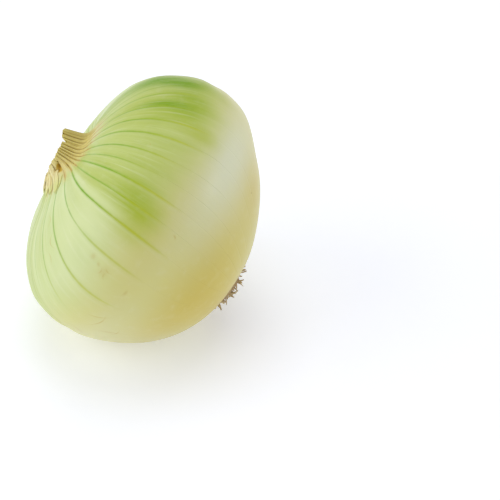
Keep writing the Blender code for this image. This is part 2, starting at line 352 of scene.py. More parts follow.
def closed_grid(name, points, material, uv_grid, attributes):
    """Closed skin from a grid of rings: quads between rings, and a fan to a point at both ends."""
    rows, columns = points.shape[:2]
    quads, row, column = grid_faces(rows, columns, closed=True)
    ends = np.stack([points[0].mean(axis=0), points[-1].mean(axis=0)])
    around = np.arange(columns)
    onward = (around + 1) % columns
    last = (rows - 1) * columns
    bottom = stacked(onward, around, rows * columns)
    top = stacked(last + around, last + onward, rows * columns + 1)
    everything = np.concatenate([points.reshape(-1, 3), ends])
    faces = quads.tolist() + bottom.tolist() + top.tolist()
    low, high = uv_grid[0], uv_grid[-1]
    quad_uv = uv_grid[row, column].transpose(1, 0, 2)
    bottom_uv = np.stack([low[1:], low[:-1], low[:-1]], axis=1)
    top_uv = np.stack([high[:-1], high[1:], high[:-1]], axis=1)
    capped = {
        label: np.concatenate([values.ravel(), [values[0].mean(), values[-1].mean()]])
        for label, values in attributes.items()
    }
    uv = np.concatenate([part.reshape(-1, 2) for part in (quad_uv, bottom_uv, top_uv)])
    return make_piece(name, everything, faces, material, uv, capped)


# The skin: bulb, neck wall and lip

# Lip: steps in and down in mm, then the floor as a share of the rim's radius and steps down
LIP_STEPS = ((0.2, -0.02), (0.42, 0.1), (0.55, 0.8), (0.7, 2.0))
NECK_FLOOR = ((0.72, 2.3), (0.45, 2.5), (0.2, 2.5))
PLEAT_DEPTH = 0.22 * MM
FINE_PLEAT_DEPTH = 0.08 * MM
PLEAT_START = 10.0 * MM
PLEAT_REACH = 4.5 * MM
LUMP_DEPTH = 0.12 * MM
LUMP_LENGTH = 12.0 * MM
LUMPS_FROM_ROOT = (2.0 * MM, 14.0 * MM)
VEIN_WANDER = 0.10
WANDER_LENGTH = 14.0 * MM
WANDER_START = 8.0 * MM

# Torn hollow: its tip, and one step down and one across, in degrees and mm; the rest in steps
HOLLOW_TIP = (-75.0, 32.6)
HOLLOW_DOWN = (-12.5, -1.65)
HOLLOW_ACROSS = (13.0, -1.3)
HOLLOW_DEPTH = 1.0 * MM
HOLLOW_FADE_IN = (-0.05, 0.3)
HOLLOW_FADE_OUT = (-1.2, -0.85)
HOLLOW_TIP_WIDTH = 0.14
HOLLOW_WIDENING = 0.38
HOLLOW_LENGTH = 1.2

# Fine rises and dips of the skin: azimuth and half width in degrees, height, half height and rise in mm
FINE_RISES = (
    (10.0, 18.0, -12.5, 7.0, 0.62),
    (22.0, 14.0, 4.5, 3.5, 0.2),
    (20.0, 12.0, -0.8, 3.0, -0.15),
    (40.0, 16.0, 23.2, 2.2, -0.25),
)


def lip_rings(rim):
    """Rings from the rim over its edge and down inside, then inward to a floor below it."""
    middle = rim.mean(axis=0)
    outward = (rim - middle)[:, :2]
    radius = np.linalg.norm(outward, axis=1, keepdims=True)
    rings = []
    for inset, drop in LIP_STEPS:
        ring = rim.copy()
        ring[:, :2] -= outward / radius * inset * MM
        ring[:, 2] -= drop * MM
        rings.append(ring)
    for share, drop in NECK_FLOOR:
        ring = rim.copy()
        ring[:, :2] = middle[:2] + outward * share
        ring[:, 2] = middle[2] + (rim[:, 2] - middle[2]) * share - drop * MM
        rings.append(ring)
    return np.stack(rings)


def hollow_share(azimuth, height):
    """Torn hollow under the rim, 1 at its bottom: a soft triangle that widens from its tip.

    A place in degrees and mm is tip + down * (steps down) + across * (steps across), and is solved
    for both counts of steps.
    """
    turn = np.degrees(np.angle(np.exp(1j * (azimuth - math.radians(HOLLOW_TIP[0])))))
    rise = height - HOLLOW_TIP[1]
    area = HOLLOW_DOWN[0] * HOLLOW_ACROSS[1] - HOLLOW_DOWN[1] * HOLLOW_ACROSS[0]
    down = (turn * HOLLOW_ACROSS[1] - rise * HOLLOW_ACROSS[0]) / area
    across = (rise * HOLLOW_DOWN[0] - turn * HOLLOW_DOWN[1]) / area
    window = smooth_step(down, *HOLLOW_FADE_IN) * smooth_step(-down, *HOLLOW_FADE_OUT)
    width = HOLLOW_TIP_WIDTH + HOLLOW_WIDENING * np.clip(down, 0.0, HOLLOW_LENGTH)
    return window * hump(across, 0.0, width)


def vein_course(azimuth, height):
    """Vein numbers over the skin: meridians that wander slightly from side to side on their way."""
    wander = VEIN_WANDER * waves(azimuth, height / WANDER_LENGTH, seed=3)
    return vein_number(azimuth) + wander * smooth_step(SHOULDER_RISE - height, 0.0, WANDER_START)


def skin_relief(points, number):
    """Depth moved along the normal.

    Pleats at the veins, cosines of the vein number that die away down the shoulder, plus soft lumps,
    less the torn hollow, plus fine rises that are bell shapes in azimuth and height.
    """
    radius = np.hypot(points[..., 0], points[..., 1])
    upper = points[..., 2] > 0.0
    near_neck = np.where(upper, np.exp(-np.maximum(radius - PLEAT_START, 0.0) / PLEAT_REACH), 0.0)
    pleats = -PLEAT_DEPTH * np.cos(TURN * number) - FINE_PLEAT_DEPTH * np.cos(2.0 * TURN * number + 1.0)
    azimuth = np.arctan2(points[..., 1], points[..., 0])
    lumps = LUMP_DEPTH * waves(azimuth, points[..., 2] / LUMP_LENGTH, seed=5)
    away_from_root = smooth_step(radius, *LUMPS_FROM_ROOT)
    hollow = HOLLOW_DEPTH * hollow_share(azimuth, points[..., 2] / MM)
    rises = bell_sum(FINE_RISES, azimuth, points[..., 2] / MM) * MM
    return pleats * near_neck + lumps * away_from_root - hollow + rises


class Skin:
    """The skin's grid in the onion's own frame, and what is known at each of its points."""

    def __init__(self):
        self.azimuth = np.arange(SKIN_COLUMNS) * (TURN / SKIN_COLUMNS)
        turns = even_turns(SKIN_ROOT_TURN, NECK_FOOT_TURN, SKIN_ROWS)[:, None]
        share = np.linspace(0.0, 1.0, NECK_ROWS + 1)[1:, None]
        wall = np.concatenate([
            bulb_surface(turns, self.azimuth[None]),
            neck_surface(share, self.azimuth[None]),
        ])
        self.number = vein_course(np.broadcast_to(self.azimuth, wall.shape[:2]), wall[..., 2])
        self.smooth_radius = np.hypot(wall[..., 0], wall[..., 1])
        self.height = wall[..., 2]
        self.wall = wall + grid_normals(wall) * skin_relief(wall, self.number)[..., None]
        self.normal = grid_normals(self.wall)
        path = np.linalg.norm(np.diff(wall, axis=0), axis=-1).mean(axis=1)
        self.arc = np.concatenate([[0.0], np.cumsum(path)])
        self.arc -= self.arc[SKIN_ROWS - 1]

    def mark_place(self, azimuth, height):
        """Vein number and distance up the profile in mm of a place on the skin."""
        column = int(round(azimuth / TURN * SKIN_COLUMNS)) % SKIN_COLUMNS
        number = np.interp(height, self.height[:, column], self.number[:, column])
        return float(number), float(np.interp(height, self.height[:, column], self.arc) / MM)

    def at(self, arc, azimuth):
        """Point and normal at a distance up the profile from the neck's foot, and an azimuth."""
        row = np.interp(arc, self.arc, np.arange(len(self.arc)))
        column = np.mod(azimuth / TURN * SKIN_COLUMNS, SKIN_COLUMNS)
        low_row = np.minimum(row.astype(int), len(self.arc) - 2)
        low_column = column.astype(int) % SKIN_COLUMNS
        next_column = (low_column + 1) % SKIN_COLUMNS
        up, over = (row - low_row)[..., None], (column - np.floor(column))[..., None]

        def along_ring(grid, ring):
            return grid[ring, low_column] * (1.0 - over) + grid[ring, next_column] * over

        def blend(grid):
            return along_ring(grid, low_row) * (1.0 - up) + along_ring(grid, low_row + 1) * up

        return blend(self.wall), blend(self.normal)


SKIN = Skin()


def vein_spacing(number_grid, points):
    """Length in mm along a ring for which the vein number rises by one."""
    step = np.linalg.norm(np.roll(points, -1, axis=1) - points, axis=-1) / MM
    rise = np.mod(np.roll(number_grid, -1, axis=1) - number_grid, VEIN_COUNT)
    return step / np.maximum(rise, 1e-4)


def straw_edge(azimuth):
    """Radius in mm inside which the neck is dense straw."""
    return 9.4 + 5.6 * azimuth_hump(azimuth, -2.0, 38.0)


def collar_edge(azimuth):
    """Radius in mm inside which the skin has begun to dry, further out on the near side."""
    return 12.6 + 7.0 * azimuth_hump(azimuth, -5.0, 32.0) + 1.6 * azimuth_hump(azimuth, -100.0, 22.0)


# Green washes between the veins: azimuth and half width in degrees, height and half height in mm,
# strength and yellow share
WASHES = (
    (-50.5, 4.6, 13.0, 7.5, 0.6, 0.75), (-55.0, 4.4, 10.5, 7.0, 0.6, 0.85),
    (-52.0, 3.6, 18.0, 5.0, 0.35, 0.6), (-57.0, 4.2, 7.0, 6.0, 0.4, 1.0),
    (-45.5, 3.2, 13.0, 6.5, 0.25, 0.8), (-38.5, 3.2, 15.0, 8.0, 0.4, 0.8),
    (-62.5, 3.4, 8.5, 6.0, 0.5, 1.0), (-50.5, 3.5, 5.5, 4.0, 0.3, 1.0),
    (-71.0, 5.0, 27.5, 4.5, 0.35, 0.5), (20.5, 5.5, 5.5, 5.5, 0.5, 0.6),
    (15.5, 5.5, 0.0, 5.0, 0.35, 0.8), (28.0, 6.0, 8.5, 5.0, 0.4, 0.5), (25.0, 6.5, 18.5, 6.5, 1.4, 0.1),
    (18.0, 5.5, 13.5, 5.5, 1.3, 0.15), (34.0, 6.5, 22.0, 6.0, 0.85, 0.0),
    (-1.8, 2.8, 18.0, 5.5, 0.95, 0.15), (-3.8, 4.2, 12.5, 6.5, 0.9, 0.45),
    (3.0, 4.8, 9.5, 5.5, 0.65, 0.5), (6.0, 3.4, 13.5, 5.5, 0.5, 0.45), (1.0, 4.5, 6.0, 4.0, 0.25, 0.8),
    (13.0, 3.6, 8.5, 5.0, 0.4, 0.6), (-9.0, 3.4, 12.0, 6.0, 0.4, 0.75),
    (-14.5, 4.2, 3.6, 4.6, 0.55, 0.95), (-14.5, 3.0, 9.0, 5.0, 0.35, 0.9),
    (-12.5, 3.0, 17.5, 5.5, 0.35, 0.5), (-24.5, 3.5, 12.5, 6.0, 0.3, 0.7),
    (-32.5, 3.0, 13.0, 6.0, 0.3, 0.9), (-98.0, 6.0, 27.0, 5.5, 0.35, 0.6),
    (-113.0, 6.0, 27.0, 7.0, 0.45, 0.6), (-85.0, 5.0, 27.5, 4.0, 0.3, 0.5),
    (60.0, 9.0, 10.0, 8.0, 0.7, 0.3), (105.0, 10.0, 14.0, 8.0, 0.6, 0.6),
    (160.0, 9.0, 9.0, 7.0, 0.8, 0.4), (-165.0, 8.0, 12.0, 7.0, 0.5, 0.7),
    (130.0, 6.0, 4.0, 7.0, 0.5, 0.9),
)


def wash_depth(azimuth, height):
    """Strength of the green washes and the yellow share of it: sums of bell shapes."""
    total = bell_sum([row[:5] for row in WASHES], azimuth, height)
    yellow = bell_sum([(*row[:4], row[4] * row[5]) for row in WASHES], azimuth, height)
    return total, yellow / np.maximum(total, 1e-3)


def skin_attributes():
    """What the flesh material reads at each point of the wall."""
    azimuth = np.broadcast_to(SKIN.azimuth, SKIN.number.shape)
    radius = SKIN.smooth_radius / MM
    height = SKIN.height / MM
    upper = SKIN.height > 0.0
    fade = of_veins(SKIN.number, VEIN_FADE) / MM
    reach = smooth_step(height, fade - 3.0, fade + 14.0)
    faint_stretch = azimuth_hump(azimuth, -76.9, 5.0) * hump(height, 20.5, 5.0)
    strength = of_veins(SKIN.number, VEIN_STRENGTH) * reach * (1.0 - 0.55 * faint_stretch)
    fingers = 0.5 * np.cos(TURN * SKIN.number) + 0.6 * waves(azimuth * 4.0, height / 3.0, seed=8)
    straw = np.where(upper, smooth_step(straw_edge(azimuth) + fingers - radius, -2.0, 2.0), 0.0)
    collar = np.where(upper, smooth_step(collar_edge(azimuth) + 2.0 * fingers - radius, -3.2, 3.2), 0.0)
    unevenness = 3.0 * waves(azimuth, height / 25.0, seed=23)
    green = of_veins(SKIN.number, SECTOR_GREEN) * smooth_step(height + unevenness, -6.0, 13.0)
    wash, wash_yellow = wash_depth(azimuth, height)
    # Pale tone: a painted sheen on the near side's right flank below the widest circle, the skin's whiter
    # tone on the hidden side towards the root, and a paler strip far round on the left
    pale_tone_and_painted_sheen = azimuth_hump(azimuth, -16.0, 34.0) * hump(height, -9.0, 12.0)
    hidden_side = 0.75 * azimuth_hump(azimuth, 110.0, 85.0) * smooth_step(-height, -4.0, 12.0)
    pale_tone_and_painted_sheen = np.maximum(pale_tone_and_painted_sheen, hidden_side)
    pale_tone_and_painted_sheen += 0.3 * azimuth_hump(azimuth, -118.0, 26.0) * smooth_step(-height, -8.0, 6.0)
    # Ochre low on the bulb: a slight tone of its own all round, and painted warm shade, strongest low on
    # the near side and at one spot lower on the right flank
    ochre_and_shade = smooth_step(-height, 6.0, 25.0) * (0.3 + 0.65 * azimuth_hump(azimuth, -72.0, 36.0))
    ochre_and_shade += 0.4 * azimuth_hump(azimuth, -7.0, 15.0) * hump(height, -22.0, 7.0)
    return {
        "vein_spacing": vein_spacing(SKIN.number, SKIN.wall),
        "vein_strength": strength,
        "straw": straw,
        "collar": collar,
        "pale_sheath": azimuth_hump(azimuth, -108.0, 44.0),
        "shaded_straw": azimuth_hump(azimuth, 32.0, 38.0),
        "leafiness": smooth_step(height + unevenness, -2.0, 18.0),
        "greenness": green,
        "wash": wash,
        "wash_yellow": wash_yellow,
        "pale_tone_and_painted_sheen": pale_tone_and_painted_sheen,
        "ochre_tone_and_painted_shade": ochre_and_shade,
        "root_tint": smooth_step(-height, 34.0, 41.0),
        "hollow": hollow_share(azimuth, height),
    }


def bulb_skin(material):
    """The closed skin of the bulb and the neck."""
    inside = lip_rings(SKIN.wall[-1])
    points = lie_down(np.concatenate([SKIN.wall, inside]))
    grown = np.concatenate([SKIN.number, np.repeat(SKIN.number[-1:], len(inside), axis=0)])
    wrapped = np.concatenate([grown, grown[:, :1] + VEIN_COUNT], axis=1)
    deep = SKIN.arc[-1] + np.arange(1, len(inside) + 1) * MM
    arc = np.concatenate([SKIN.arc, deep]) / MM
    uv = stacked(wrapped, arc[:, None])
    attributes = {
        label: np.concatenate([values, np.repeat(values[-1:], len(inside), axis=0)])
        for label, values in skin_attributes().items()
    }
    return closed_grid("bulb_skin", points, material, uv, attributes)


# Torn sheaths on the neck: azimuth, its drift and half width in degrees, top and tip in mm up from
# the neck's foot, lift and curl in mm, and bluntness
FLAPS = (
    (-146.0, -6.0, 13.0, 11.2, 3.6, 0.6, 0.1, 2.6),
    (-124.0, -4.0, 10.0, 10.2, 2.8, 0.2, 0.1, 1.8),
    (-110.0, -4.0, 8.0, 9.4, 2.2, 0.14, 0.1, 1.7),
    (-96.0, -2.0, 7.5, 8.2, -0.4, 0.12, 0.1, 1.5),
    (-83.0, -12.0, 2.4, 5.0, -1.4, 0.08, 0.0, 1.2),
    (-103.0, 0.0, 9.0, 11.0, 7.4, 0.3, 0.2, 4.0),
)
FLAP_ROWS = 40
FLAP_COLUMNS = 18
FLAP_THICKNESS = 0.12 * MM
FLAP_RAGGEDNESS = 0.08
DEGREES_PER_VEIN = 8.0

# Gap under a shred and depth of its pleats, in mm
FLAP_GAP = 0.06
FLAP_PLEAT = 0.04


def dry_sheet(name, points, uv_grid, thickness, material, attributes=None, reverse=False):
    """Sheet from an open grid, laid down, with its thickness even on both sides.

    Reverse turns the faces of a grid whose rows run down instead of up.
    """
    corners, row, column = grid_faces(*points.shape[:2], closed=False)
    uv = uv_grid[row, column].transpose(1, 0, 2)
    if reverse:
        corners, uv = corners[:, ::-1], uv[:, ::-1]
    piece = make_piece(name, lie_down(points), corners, material, uv.reshape(-1, 2), attributes)
    solid = piece.modifiers.new("thickness", "SOLIDIFY")
    solid.thickness = thickness
    solid.offset = 0.0
    return piece


def sheath_flap(number, azimuth, drift, half_width, top, tip, lift, curl, bluntness, material):
    """A dry shred that follows the skin from the neck down to a torn point, lifted along its middle."""
    down = np.linspace(0.0, 1.0, FLAP_ROWS)[:, None]
    across = np.linspace(-1.0, 1.0, FLAP_COLUMNS)[None]
    ragged = 1.0 + FLAP_RAGGEDNESS * waves(down * 7.0, across * 0.0 + number, seed=number + 1)
    width = np.radians(half_width) * (1.0 - down ** bluntness) ** 0.8 * ragged
    turn = np.radians(azimuth + drift * down) + width * across
    arc = (top + (tip - top) * down) * MM + 0.0 * across
    foot, normal = SKIN.at(arc, turn)
    pleat = FLAP_PLEAT * np.cos(across * 9.0 + number)
    raised = FLAP_GAP + lift * np.sin(math.pi * down) * (1.0 - 0.4 * across ** 2)
    raised = raised + curl * (1.0 - down) ** 6 + pleat
    points = foot + normal * (raised * MM)[..., None]
    uv = stacked(number + across * half_width / DEGREES_PER_VEIN, arc / MM)
    edge = smooth_step(np.abs(across), 0.7, 1.0) * (1.0 - 0.7 * down)
    name = f"neck_shred_{number}"
    return dry_sheet(name, points, uv, FLAP_THICKNESS, material, {"edge": edge}, reverse=True)


# Dry layers inside the neck

SCROLL_TURNS = 2.6
SCROLL_OUTER = 6.9 * MM
SCROLL_INNER = 1.0 * MM
SCROLL_HEIGHT = 3.2 * MM
SCROLL_DROP = 0.2 * MM
SCROLL_DROP_INWARD = 1.2 * MM
SCROLL_CRUMPLE = 0.45 * MM
SCROLL_TEAR = 0.45 * MM
SCROLL_LEAN = 0.8 * MM
SCROLL_THICKNESS = 0.2 * MM
SCROLL_COLUMNS = 360
SCROLL_ROWS = 14
DRY_VEINS = 36.0


def inner_scroll(material):
    """Crumpled layers in the neck: a spiral sheet that winds inward, wavy across and ragged on top."""
    along = np.linspace(0.0, 1.0, SCROLL_COLUMNS)[None]
    up = np.linspace(0.0, 1.0, SCROLL_ROWS)[:, None]
    turn = along * SCROLL_TURNS * TURN
    crumple = SCROLL_CRUMPLE * waves(turn * 2.0, up * 2.0 + along * 20.0, seed=31, count=9)
    radius = SCROLL_OUTER + (SCROLL_INNER - SCROLL_OUTER) * along ** 0.8
    radius = radius + crumple * (0.4 + 0.6 * up) - SCROLL_LEAN * up ** 2 * (1.0 - along)
    slant = RIM_RISE + RIM_SLANT * np.cos(turn - RIM_HIGH_AZIMUTH) * radius / NECK_RIM_RADIUS
    ragged = SCROLL_TEAR * waves(turn * 3.0, along * 37.0, seed=32, count=9)
    top = SHOULDER_RISE + slant - SCROLL_DROP - SCROLL_DROP_INWARD * along + ragged
    height = top - SCROLL_HEIGHT * (1.0 - up)
    points = ring_points(radius, turn, height)
    uv = stacked(turn / TURN * DRY_VEINS, height / MM)
    return dry_sheet("neck_inner_layers", points, uv, SCROLL_THICKNESS, material)


# Root plate and roots

PLATE_RADIUS = 8.6 * MM
PLATE_STEP = 0.8 * MM
PLATE_DISH = 0.9 * MM
PLATE_TEAR = 0.05
PLATE_GRAIN = 0.16 * MM
PLATE_RING_DEPTH = 0.10 * MM
PLATE_ROLL = 1.7 * MM
PLATE_ROLL_START = 0.86
PLATE_BACK = 1.5 * MM
PLATE_UV_STEP = 0.2
PLATE_COLUMNS = 180
PLATE_ROWS = 46
ROOT_COUNT = 120
ROOT_SIDES = 6
ROOT_STEPS = 7
ROOT_SEED = 19
ROOT_THINNING = 0.45
ROOT_SPREAD = math.radians(38.0)
ROOT_SUNK = 0.6 * MM
GOLDEN_TURN = math.pi * (3.0 - math.sqrt(5.0))

# Shortest and longest root, and thinnest and thickest one's radius, in mm
ROOT_LENGTHS = (0.9, 2.6)
ROOT_GIRTHS = (0.28, 0.5)


def plate_height(radius):
    """Height of the dished root plate at a distance from the root pole."""
    return -ROOT_DEPTH - PLATE_STEP + PLATE_DISH * (1.0 - (radius / PLATE_RADIUS) ** 2)


def root_plate(material):
    """Rough corky disc on the root pole: a dished face, a torn edge, and a rim sunk in the skin."""
    azimuth = (np.arange(PLATE_COLUMNS) * (TURN / PLATE_COLUMNS))[None]
    share = np.linspace(0.02, 1.0, PLATE_ROWS)[:, None]
    torn = PLATE_TEAR * waves(azimuth * 2.0, 0.0, seed=41, count=9)
    radius = PLATE_RADIUS * share * (1.0 + torn * share ** 2)
    rough = PLATE_GRAIN * waves(azimuth * 5.0, share * 30.0, seed=42, count=14)
    rings = PLATE_RING_DEPTH * np.cos(share * 34.0 + 0.6 * waves(azimuth, 0.0, seed=43))
    rolled = PLATE_ROLL * smooth_step(share, PLATE_ROLL_START, 1.0) ** 2
    height = plate_height(radius) + (rough + rings) * (1.0 - 0.6 * share) + rolled
    points = ring_points(radius, azimuth, height, root_lean(-ROOT_DEPTH))
    back = points[-1:].copy()
    back[..., 2] += PLATE_BACK
    points = np.concatenate([points, back])[::-1]
    number = np.linspace(0.0, DRY_VEINS, PLATE_COLUMNS + 1)
    uv = stacked(number, np.arange(len(points))[:, None] * PLATE_UV_STEP)
    return closed_grid("root_plate", lie_down(points), material, uv, {})


def root_fibres(material):
    """Trimmed roots: tapering tubes that leave the plate outward and bend, spread by the golden angle."""
    draw = np.random.default_rng(ROOT_SEED)
    index = np.arange(ROOT_COUNT)
    place = np.sqrt(0.05 + 0.82 * (index + 0.5) / ROOT_COUNT) * PLATE_RADIUS
    azimuth = index * GOLDEN_TURN + draw.normal(0.0, 0.1, ROOT_COUNT)
    tilt = ROOT_SPREAD * place / PLATE_RADIUS + draw.normal(0.0, 0.2, ROOT_COUNT)
    swing = azimuth + draw.normal(0.0, 0.5, ROOT_COUNT)
    length = draw.uniform(*ROOT_LENGTHS, ROOT_COUNT) * MM
    bend = draw.normal(0.0, 0.5, (ROOT_COUNT, 2))
    foot = ring_points(place, azimuth, plate_height(place), root_lean(-ROOT_DEPTH))
    aim = ring_points(np.sin(tilt), swing, -np.cos(tilt))
    side = np.cross(aim, [0.0, 0.0, 1.0]) + 1e-6
    side /= np.linalg.norm(side, axis=1, keepdims=True)
    other = np.cross(aim, side)
    step = np.linspace(0.0, 1.0, ROOT_STEPS)[None, :, None]
    sunk = foot - aim * ROOT_SUNK
    path = sunk[:, None] + aim[:, None] * (length[:, None, None] + ROOT_SUNK) * step
    curve = bend[:, :1, None] * side[:, None] + bend[:, 1:, None] * other[:, None]
    path = path + curve * length[:, None, None] * step ** 2
    girth = draw.uniform(*ROOT_GIRTHS, ROOT_COUNT)[:, None] * MM * (1.0 - ROOT_THINNING * step[:, :, 0])
    girth = girth * (1.0 + 0.12 * np.sin(step[:, :, 0] * 9.0 + index[:, None]))
    ring = np.arange(ROOT_SIDES) * (TURN / ROOT_SIDES)
    around = np.cos(ring)[None, :, None] * side[:, None] + np.sin(ring)[None, :, None] * other[:, None]
    tubes = path[:, :, None] + around[:, None] * girth[:, :, None, None]
    return tube_bundle("root_fibres", tubes, material)


def tube_bundle(name, tubes, material):
    """One mesh of many closed tubes, given as roots by steps by sides."""
    count, steps, sides = tubes.shape[:3]
    quads, _, _ = grid_faces(steps, sides, closed=True)
    near = np.arange(sides)
    far = near + (steps - 1) * sides
    offsets = (np.arange(count) * steps * sides)[:, None]
    walls = (quads[None] + offsets[..., None]).reshape(-1, 4)
    ends = np.concatenate([near[::-1][None] + offsets, far[None] + offsets])
    faces = walls.tolist() + ends.tolist()
    return make_piece(name, lie_down(tubes), faces, material)


# Materials

def paint(red, green, blue):
    """Linear colour from the usual 0 to 255 screen values."""
    screen = (red / 255.0, green / 255.0, blue / 255.0)
    return tuple(c / 12.92 if c <= 0.04045 else ((c + 0.055) / 1.055) ** 2.4 for c in screen) + (1.0,)


class Value:
    """A number or colour that varies over a surface; each operator adds one Math node."""

    def __init__(self, finish, socket):
        self.finish = finish
        self.socket = socket

    def __add__(self, other):
        return self.finish.maths("ADD", self, other)

    __radd__ = __add__

    def __sub__(self, other):
        return self.finish.maths("SUBTRACT", self, other)

    def __rsub__(self, other):
        return self.finish.maths("SUBTRACT", other, self)

    def __mul__(self, other):
        return self.finish.maths("MULTIPLY", self, other)

    __rmul__ = __mul__

    def __truediv__(self, other):
        return self.finish.maths("DIVIDE", self, other)


class Finish:
    """One material, whose nodes are written as sums of values."""

    def __init__(self, name):
        self.material = bpy.data.materials.new(name)
        self.material.use_nodes = True
        self.tree = self.material.node_tree
        self.shader = self.tree.nodes["Principled BSDF"]

    def node(self, kind, settings, values, output=0):
        """Any node: its settings first, then the values or links of its sockets."""
        made = self.tree.nodes.new(kind)
        for key, setting in settings.items():
            setattr(made, key, setting)
        for key, value in values.items():
            self.feed(made.inputs[key], value)
        return Value(self, made.outputs[output])

    def feed(self, socket, value):
        """Link a value to a socket, or set the socket to a plain number or colour."""
        if isinstance(value, Value):
            self.tree.links.new(value.socket, socket)
        else:
            socket.default_value = value

    def maths(self, operation, *terms):
        """One Math node on up to three numbers or values."""
        return self.node("ShaderNodeMath", {"operation": operation}, dict(enumerate(terms)))

    def attribute(self, name):
        """Number that the mesh keeps at each of its points."""
        return self.node("ShaderNodeAttribute", {"attribute_name": name}, {}, output=2)

    def meridian(self):
        """Vein number and distance up the profile in mm, from the UV map."""
        place = self.node("ShaderNodeUVMap", {"uv_map": "meridian"}, {})
        number = self.node("ShaderNodeSeparateXYZ", {}, {"Vector": place}, output=0)
        distance = self.node("ShaderNodeSeparateXYZ", {}, {"Vector": place}, output=1)
        return number, distance

    def point(self, x, y):
        """Place in a flat pattern."""
        return self.node("ShaderNodeCombineXYZ", {}, {"X": x, "Y": y})

    def noise(self, scale, detail, place=None):
        """Fractal noise about 0.5, on the object's coordinates unless a place is given."""
        if place is None:
            place = self.node("ShaderNodeTexCoord", {}, {}, output=3)
        return self.node("ShaderNodeTexNoise", {}, {"Vector": place, "Scale": scale, "Detail": detail})

    def step(self, value, low, high):
        """Smooth step from 0 at low to 1 at high."""
        values = {"Value": value, "From Min": low, "From Max": high}
        return self.node("ShaderNodeMapRange", {"interpolation_type": "SMOOTHSTEP"}, values)

    def bell(self, value, width):
        """Bell curve that is 1 where the value is 0."""
        scaled = value / width
        return self.maths("EXPONENT", -1.0 * scaled * scaled)

    def mix(self, share, first, second):
        """Colour between two others."""
        values = {0: share, 6: first, 7: second}
        return self.node("ShaderNodeMix", {"data_type": "RGBA", "clamp_factor": True}, values, output=2)

    def layer(self, base, share, red, green, blue):
        """A layer of paint over a colour, as dense as its share."""
        return self.mix(share, base, paint(red, green, blue))

    def bump(self, height, distance, strength=1.0):
        """Normal tilted by a height pattern, whose full rise is the distance in metres."""
        values = {"Height": height, "Distance": distance, "Strength": strength}
        return self.node("ShaderNodeBump", {}, values)

    def finish(self, colour, roughness, normal, **constants):
        """Link what varies to the shader, and set the rest on its own sockets."""
        self.feed(self.shader.inputs["Base Color"], colour)
        self.feed(self.shader.inputs["Roughness"], roughness)
        self.feed(self.shader.inputs["Normal"], normal)
        for label, value in constants.items():
            self.shader.inputs[label.replace("_", " ")].default_value = value
        return self.material


def vein_mask(look, number, width, spacing):
    """Line along each whole vein number, with a half width in mm."""
    share = look.maths("FRACT", number + 0.5) - 0.5
    return look.bell(share * spacing, width)


# Scuffs: azimuth in degrees, height, half length and half width in mm, tilt in degrees, bend per mm,
# and strength
SCUFFS = (
    (-79.0, 12.5, 1.1, 0.9, 0.0, 0.0, 0.4), (-80.5, 9.9, 0.8, 0.5, 40.0, 0.0, 0.4),
    (-82.2, 8.0, 1.1, 0.17, 0.0, 0.3, 0.4), (-80.2, 6.5, 0.9, 0.17, 70.0, -0.3, 0.4),
    (-82.8, 6.6, 1.0, 0.18, 20.0, -0.3, 0.4), (-81.0, 7.2, 2.0, 1.6, 0.0, 0.0, 0.36),
    (-83.6, -2.3, 1.1, 0.5, -5.0, 0.1, 0.5), (-102.6, -1.6, 2.6, 0.2, -64.0, 0.05, 0.6),
    (-105.5, -3.6, 3.0, 0.2, -10.0, 0.06, 0.8), (-110.5, -9.0, 2.8, 0.6, -75.0, 0.0, 0.4),
    (-110.0, -11.1, 2.2, 0.22, -10.0, 0.1, 0.6), (-11.8, -21.7, 0.28, 0.28, 0.0, 0.0, 1.5),
    (-97.4, 26.2, 1.8, 0.2, 80.0, 0.3, 0.75), (-98.6, 23.2, 2.0, 0.2, 80.0, -0.3, 0.75),
    (-102.0, 20.5, 1.6, 0.25, 85.0, 0.2, 0.5), (-54.0, -3.9, 0.7, 0.3, 60.0, 0.3, 0.6),
    (-27.1, 16.5, 0.2, 0.2, 0.0, 0.0, 0.9), (-30.7, 20.4, 0.2, 0.2, 0.0, 0.0, 0.7),
    (-128.3, 4.0, 3.4, 0.5, 75.0, 0.05, 0.9), (-122.0, -1.5, 2.4, 0.4, 60.0, 0.0, 0.5),
    (7.0, 36.0, 0.6, 0.5, 0.0, 0.0, 1.8), (-9.0, 34.0, 0.5, 0.4, 0.0, 0.0, 1.4),
    (-75.0, 32.7, 0.45, 0.3, 90.0, 0.0, 1.9), (-141.0, 32.9, 0.6, 0.5, 0.0, 0.0, 1.8),
    (-63.0, 29.9, 1.6, 0.28, 90.0, 0.0, 1.5), (-64.0, 28.9, 1.2, 0.2, 90.0, 0.0, 0.8),
    (-46.5, 29.4, 2.2, 0.22, 90.0, 0.0, 1.0), (-74.0, 28.9, 2.0, 0.2, 90.0, 0.0, 0.6),
)


def blemishes(look, number, distance, spacing):
    """Small scuffs: bell-shaped strokes about parabolas, in mm across and along the meridians."""
    total = 0.0
    for azimuth, height, length, width, tilt, bend, strength in SCUFFS:
        middle, arc = SKIN.mark_place(math.radians(azimuth), height * MM)
        across, along = (number - middle) * spacing, distance - arc
        cosine, sine = math.cos(math.radians(tilt)), math.sin(math.radians(tilt))
        run = across * cosine + along * sine
        off = along * cosine - across * sine - run * run * bend
        total = look.bell(run, length) * look.bell(off, width) * strength + total
    return total


